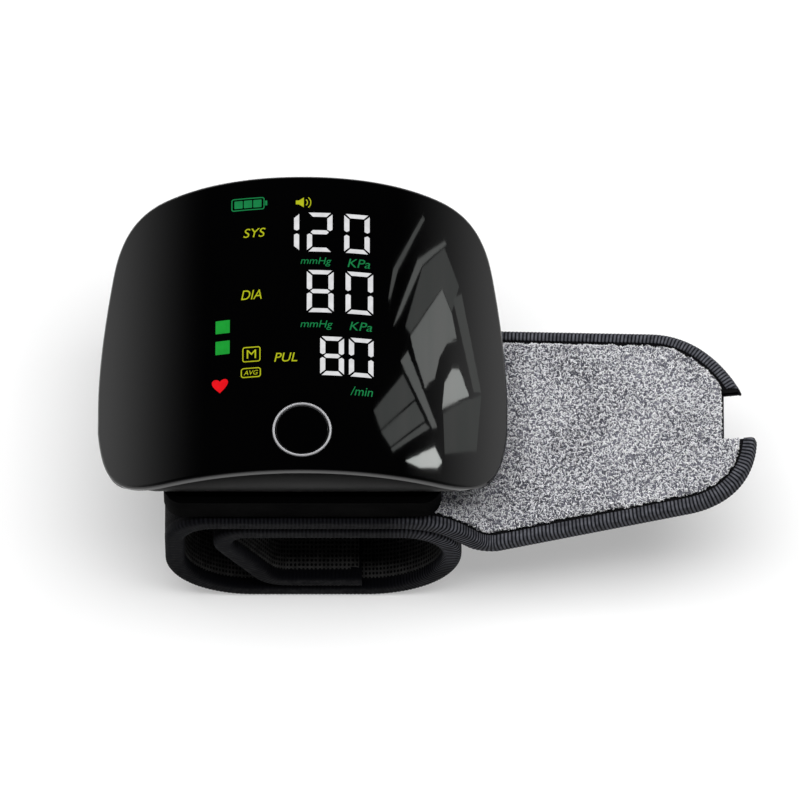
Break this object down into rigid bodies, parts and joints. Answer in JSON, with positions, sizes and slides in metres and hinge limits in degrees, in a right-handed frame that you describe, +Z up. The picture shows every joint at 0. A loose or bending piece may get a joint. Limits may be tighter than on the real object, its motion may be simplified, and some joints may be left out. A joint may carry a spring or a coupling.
{
  "type": "wrist blood pressure monitor",
  "caption": "Wrist blood pressure monitor: arched housing with a crowned glossy panel and a round start button, on a rolled cloth cuff with a pile-faced tail.",
  "frame": {"origin": "on the flat underside of the cuff's loop, below the middle of the panel's width", "axes": "+Z up, +X to the right of the display, +Y from the start button to the top of the display"},
  "size_m": [0.1351, 0.0683, 0.0579],
  "materials": {
    "gloss_black": "polished, mirror-like",
    "shell_grey": "fine satin mould texture",
    "base_black": "fine matte mould texture",
    "dark_plastic": "plain moulded",
    "ring_silver": "bright plated",
    "white_plastic": "plain moulded",
    "board_green": "solder-masked board",
    "steel": "plain steel",
    "rubber_grey": "soft matte rubber",
    "cell_sleeve": "plain shrink sleeve",
    "cuff_cloth": "black nylon cloth",
    "lining_mesh": "dark open mesh weave",
    "edge_tape": "ribbed edge tape",
    "loop_pile": "fuzzy grey and white loop pile"
  },
  "bodies": {
    "housing": {"front_lens": "gloss_black", "lens_carrier": "dark_plastic", "lower_shell": "shell_grey", "base_cover": "base_black", "case_screw_1": "steel", "case_screw_2": "steel", "case_screw_3": "steel", "case_screw_4": "steel", "button_ring": "ring_silver", "tact_switch": "dark_plastic", "main_board": "board_green", "board_screw_1": "steel", "board_screw_2": "steel", "controller_chip": "dark_plastic", "light_frame": "white_plastic", "diffuser_film": "white_plastic", "pump_motor": "steel", "pump_head": "dark_plastic", "release_valve": "rubber_grey", "air_manifold": "white_plastic", "pressure_sensor": "dark_plastic", "pump_tube": "rubber_grey", "valve_tube": "rubber_grey", "battery_cell": "cell_sleeve", "charge_board": "board_green", "charge_socket": "steel", "speaker": "dark_plastic", "cuff_mount_plate": "base_black", "bladder_nozzle": "rubber_grey", "cuff_cover": "cuff_cloth", "cuff_curler": "white_plastic", "cuff_bladder": "rubber_grey", "cuff_lining": "lining_mesh", "cuff_binding_near": "edge_tape", "cuff_binding_far": "edge_tape"},
    "start_button": {"start_button": "gloss_black"},
    "cuff_tail": {"tail_pile": "loop_pile", "tail_backing": "cuff_cloth", "tail_binding_near": "edge_tape", "tail_binding_far": "edge_tape", "hook_patch": "lining_mesh"}
  },
  "joints": [
    {"name": "start_button_press", "type": "slide", "parent": "housing", "child": "start_button", "axis": [0, 0, -1], "range_m": [0, 0.0008], "stiffness_N_per_m": 400},
    {"name": "cuff_tail_bend", "type": "hinge", "parent": "housing", "child": "cuff_tail", "pos_m": [0.03978, 0, 0.02352], "axis": [0, -1, 0], "range_deg": [-32, 25], "stiffness_Nm_per_rad": 0.3}
  ]
}
